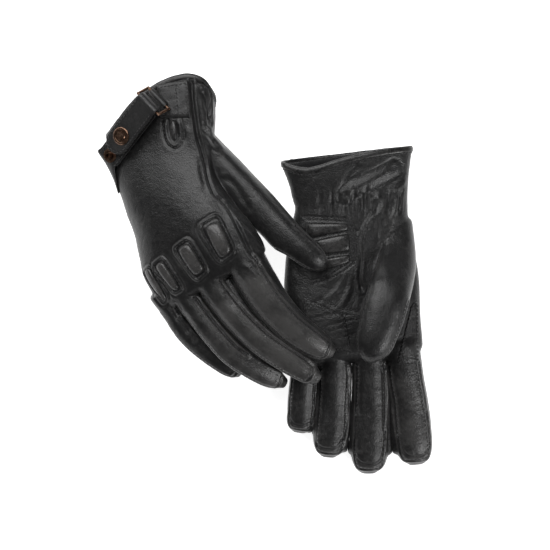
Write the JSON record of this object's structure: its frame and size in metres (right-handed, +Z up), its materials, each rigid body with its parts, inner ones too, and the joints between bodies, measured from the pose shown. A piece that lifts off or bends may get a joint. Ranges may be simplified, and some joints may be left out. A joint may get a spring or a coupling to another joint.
{
  "type": "riding gloves",
  "caption": "Pair of short-cuff leather riding gloves with padded knuckles and heel, folding wrist strap with ring and snap, lying one over the other.",
  "frame": {"origin": "centre of the pair's outline on the table, at table height", "axes": "+Z up from the table, +Y towards the cuffs, +X towards the left-hand glove, which lies palm up"},
  "size_m": [0.262, 0.3121, 0.0708],
  "materials": {
    "black_leather": "soft matte full-grain",
    "reinforced_leather": "smooth matte",
    "strap_leather": "firm matte",
    "lining_knit": "brushed knit",
    "elastic": "woven",
    "foam": "open cell",
    "antique_copper": "antiqued, rubbed",
    "snap_metal": "plain"
  },
  "bodies": {
    "left_hand": {"left_back_panel": "black_leather", "left_palm_panel": "black_leather", "left_hand_fourchettes": "black_leather", "left_thumb_base": "black_leather", "left_cuff_binding": "strap_leather", "left_lining": "lining_knit", "left_vent_gusset": "black_leather", "left_wrist_elastic": "elastic", "left_knuckle_pads": "reinforced_leather", "left_knuckle_foam": "foam", "left_heel_pad": "reinforced_leather", "left_heel_foam": "foam", "left_palm_patches": "reinforced_leather", "left_strap_base": "strap_leather", "left_snap_studs": "snap_metal", "left_ring_keeper": "strap_leather"},
    "left_index": {"left_index_panels": "black_leather", "left_index_fourchettes": "black_leather"},
    "left_middle": {"left_middle_panels": "black_leather", "left_middle_fourchettes": "black_leather"},
    "left_ring_finger": {"left_ring_finger_panels": "black_leather", "left_ring_finger_fourchettes": "black_leather"},
    "left_little": {"left_little_panels": "black_leather", "left_little_fourchettes": "black_leather"},
    "left_thumb": {"left_thumb_tip": "black_leather"},
    "left_strap_tab_body": {"left_strap_tab": "strap_leather", "left_snap_cap": "antique_copper", "left_snap_socket": "snap_metal"},
    "left_ring_body": {"left_d_ring": "antique_copper"},
    "right_hand": {"right_back_panel": "black_leather", "right_palm_panel": "black_leather", "right_hand_fourchettes": "black_leather", "right_thumb_base": "black_leather", "right_cuff_binding": "strap_leather", "right_lining": "lining_knit", "right_vent_gusset": "black_leather", "right_wrist_elastic": "elastic", "right_knuckle_pads": "reinforced_leather", "right_knuckle_foam": "foam", "right_heel_pad": "reinforced_leather", "right_heel_foam": "foam", "right_palm_patches": "reinforced_leather", "right_strap_base": "strap_leather", "right_snap_studs": "snap_metal", "right_ring_keeper": "strap_leather"},
    "right_index": {"right_index_panels": "black_leather", "right_index_fourchettes": "black_leather"},
    "right_middle": {"right_middle_panels": "black_leather", "right_middle_fourchettes": "black_leather"},
    "right_ring_finger": {"right_ring_finger_panels": "black_leather", "right_ring_finger_fourchettes": "black_leather"},
    "right_little": {"right_little_panels": "black_leather", "right_little_fourchettes": "black_leather"},
    "right_thumb": {"right_thumb_tip": "black_leather"},
    "right_strap_tab_body": {"right_strap_tab": "strap_leather", "right_snap_cap": "antique_copper", "right_snap_socket": "snap_metal"},
    "right_ring_body": {"right_d_ring": "antique_copper"}
  },
  "joints": [
    {"name": "right_glove_lift", "type": "slide", "parent": "left_hand", "child": "right_hand", "axis": [0, 0, 1], "range_m": [0, 0.1]},
    {"name": "left_index_bend", "type": "hinge", "parent": "left_hand", "child": "left_index", "pos_m": [0.11338, -0.10014, 0.03213], "axis": [-0.9906, -0.1371, 0], "range_deg": [0, 80]},
    {"name": "left_middle_bend", "type": "hinge", "parent": "left_hand", "child": "left_middle", "pos_m": [0.08351, -0.10153, 0.03215], "axis": [-0.9998, 0.0188, 0], "range_deg": [0, 80]},
    {"name": "left_ring_finger_bend", "type": "hinge", "parent": "left_hand", "child": "left_ring_finger", "pos_m": [0.05382, -0.10165, 0.03063], "axis": [-0.9985, 0.0544, 0], "range_deg": [0, 80]},
    {"name": "left_little_bend", "type": "hinge", "parent": "left_hand", "child": "left_little", "pos_m": [0.02957, -0.09901, 0.02857], "axis": [-0.997, 0.078, 0], "range_deg": [0, 80]},
    {"name": "left_thumb_bend", "type": "hinge", "parent": "left_hand", "child": "left_thumb", "pos_m": [0.0988, -0.01001, 0.06144], "axis": [-0.9637, 0.267, 0], "range_deg": [0, 40]},
    {"name": "left_strap_open", "type": "hinge", "parent": "left_hand", "child": "left_strap_tab_body", "pos_m": [0.08219, 0.07917, 0.00653], "axis": [0, -1, 0], "range_deg": [0, 140]},
    {"name": "left_ring_swing", "type": "hinge", "parent": "left_hand", "child": "left_ring_body", "pos_m": [0.09368, 0.07917, 0.0071], "axis": [0, 1, 0], "range_deg": [-6, 6]},
    {"name": "right_index_bend", "type": "hinge", "parent": "right_hand", "child": "right_index", "pos_m": [0.00245, -0.02593, 0.07093], "axis": [-0.7592, -0.5728, -0.309], "range_deg": [0, 30]},
    {"name": "right_middle_bend", "type": "hinge", "parent": "right_hand", "child": "right_middle", "pos_m": [-0.01883, -0.04111, 0.06042], "axis": [-0.6826, -0.6625, -0.3084], "range_deg": [0, 30]},
    {"name": "right_ring_finger_bend", "type": "hinge", "parent": "right_hand", "child": "right_ring_finger", "pos_m": [-0.04178, -0.04866, 0.04902], "axis": [-0.7206, -0.6209, -0.3087], "range_deg": [0, 30]},
    {"name": "right_little_bend", "type": "hinge", "parent": "right_hand", "child": "right_little", "pos_m": [-0.05624, -0.05492, 0.0288], "axis": [-0.7193, -0.6257, -0.3018], "range_deg": [0, 30]},
    {"name": "right_thumb_bend", "type": "hinge", "parent": "right_hand", "child": "right_thumb", "pos_m": [-0.00542, 0.04711, 0.05909], "axis": [-0.6309, -0.7384, -0.2383], "range_deg": [0, 20]},
    {"name": "right_strap_open", "type": "hinge", "parent": "right_hand", "child": "right_strap_tab_body", "pos_m": [-0.08976, 0.13168, 0.05688], "axis": [-0.6647, 0.6915, -0.2828], "range_deg": [0, 140]},
    {"name": "right_ring_swing", "type": "hinge", "parent": "right_hand", "child": "right_ring_body", "pos_m": [-0.08197, 0.13626, 0.04977], "axis": [0.6647, -0.6915, 0.2828], "range_deg": [-1, 6]}
  ]
}
